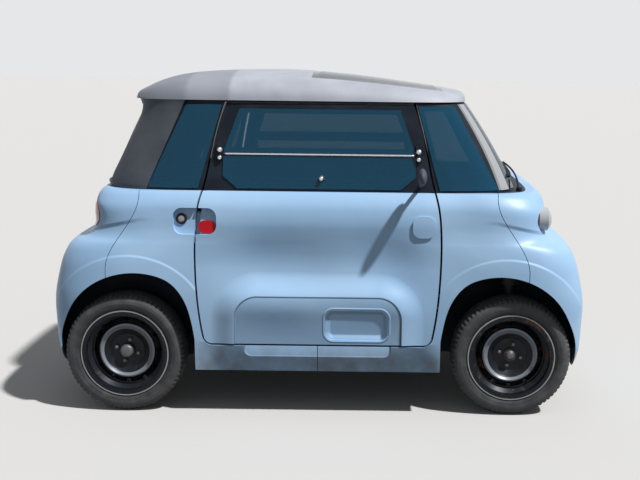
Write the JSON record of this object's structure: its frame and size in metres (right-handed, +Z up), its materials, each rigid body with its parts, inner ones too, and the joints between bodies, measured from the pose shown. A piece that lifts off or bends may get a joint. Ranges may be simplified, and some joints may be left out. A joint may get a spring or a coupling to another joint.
{
  "type": "two-seat electric microcar",
  "caption": "Short two-door microcar with moulded panels, dark roof, flush glass, steel wheels that spin and steer, and doors that swing on opposite edges.",
  "frame": {"origin": "on the ground under the middle of the car's overall box", "axes": "+X to the front of the car, +Y to its left, +Z up"},
  "size_m": [2.412, 1.602, 1.518],
  "materials": {
    "body_plastic": "satin",
    "roof_plastic": "satin",
    "dark_plastic": "satin",
    "black_trim": "matte",
    "glass": "polished",
    "lamp_lens": "polished",
    "red_lens": "polished",
    "red_strap": "satin",
    "black_steel": "satin",
    "chassis_steel": "matte",
    "tyre_rubber": "matte",
    "seat_fabric": "matte",
    "motor_alloy": "cast"
  },
  "bodies": {
    "root": {"floor_pan": "black_trim", "wheel_housings": "black_trim", "front_end_panel": "body_plastic", "rear_end_panel": "body_plastic", "front_wing_left": "body_plastic", "front_wing_right": "body_plastic", "rear_wing_left": "body_plastic", "rear_wing_right": "body_plastic", "pillar_frame": "black_trim", "quarter_windows": "glass", "windscreen": "glass", "rear_window": "glass", "rear_pillar_covers": "dark_plastic", "roof_shell": "roof_plastic", "roof_glass": "glass", "scuttle_panel": "black_trim", "headlamps": "lamp_lens", "tail_lamps": "red_lens", "front_suspension": "chassis_steel", "strut_mounts": "chassis_steel", "rear_axle": "chassis_steel", "drive_motor": "motor_alloy", "battery_pack": "chassis_steel", "seat_shells": "black_trim", "seat_cushions": "seat_fabric", "dashboard": "dark_plastic", "steering_column": "black_trim"},
    "door_left": {"door_panel_left": "body_plastic", "door_frame_left": "black_trim", "door_glass_left": "glass", "door_pull_left": "red_strap", "door_mirror_left": "dark_plastic"},
    "door_right": {"door_panel_right": "body_plastic", "door_frame_right": "black_trim", "door_glass_right": "glass", "door_pull_right": "red_strap", "door_mirror_right": "dark_plastic"},
    "knuckle_left": {"knuckle_left": "chassis_steel"},
    "knuckle_right": {"knuckle_right": "chassis_steel"},
    "steering_wheel": {"steering_wheel": "black_trim"},
    "wheel_front_left": {"wheel_front_left": "black_steel", "tyre_front_left": "tyre_rubber"},
    "wheel_front_right": {"wheel_front_right": "black_steel", "tyre_front_right": "tyre_rubber"},
    "wheel_rear_left": {"wheel_rear_left": "black_steel", "tyre_rear_left": "tyre_rubber"},
    "wheel_rear_right": {"wheel_rear_right": "black_steel", "tyre_rear_right": "tyre_rubber"}
  },
  "joints": [
    {"name": "steer_left", "type": "hinge", "parent": "root", "child": "knuckle_left", "pos_m": [0.86, 0.56, 0.15], "axis": [0, -0.2132, 0.977], "range_deg": [-32, 32]},
    {"name": "steer_right", "type": "hinge", "parent": "root", "child": "knuckle_right", "pos_m": [0.86, -0.56, 0.15], "axis": [0, 0.2132, 0.977], "range_deg": [-32, 32]},
    {"name": "steering_turn", "type": "hinge", "parent": "root", "child": "steering_wheel", "pos_m": [0.222, 0.29, 0.93], "axis": [-0.8192, 0, 0.5736], "range_deg": [-512, 512]},
    {"name": "door_left_swing", "type": "hinge", "parent": "root", "child": "door_left", "pos_m": [-0.552, 0.667, 0.525], "axis": [0, 0, 1], "range_deg": [0, 70]},
    {"name": "door_right_swing", "type": "hinge", "parent": "root", "child": "door_right", "pos_m": [0.552, -0.667, 0.525], "axis": [0, 0, 1], "range_deg": [0, 70]},
    {"name": "spin_front_left", "type": "hinge", "parent": "knuckle_left", "child": "wheel_front_left", "pos_m": [0.86, 0.578, 0.267], "axis": [0, 1, 0], "continuous": true},
    {"name": "spin_front_right", "type": "hinge", "parent": "knuckle_right", "child": "wheel_front_right", "pos_m": [0.86, -0.578, 0.267], "axis": [0, 1, 0], "continuous": true},
    {"name": "spin_rear_left", "type": "hinge", "parent": "root", "child": "wheel_rear_left", "pos_m": [-0.86, 0.578, 0.267], "axis": [0, 1, 0], "continuous": true},
    {"name": "spin_rear_right", "type": "hinge", "parent": "root", "child": "wheel_rear_right", "pos_m": [-0.86, -0.578, 0.267], "axis": [0, 1, 0], "continuous": true}
  ],
  "couplings": [
    {"joint": "steer_right", "follows": "steer_left", "ratio": 1},
    {"joint": "steering_turn", "follows": "steer_left", "ratio": 16}
  ]
}
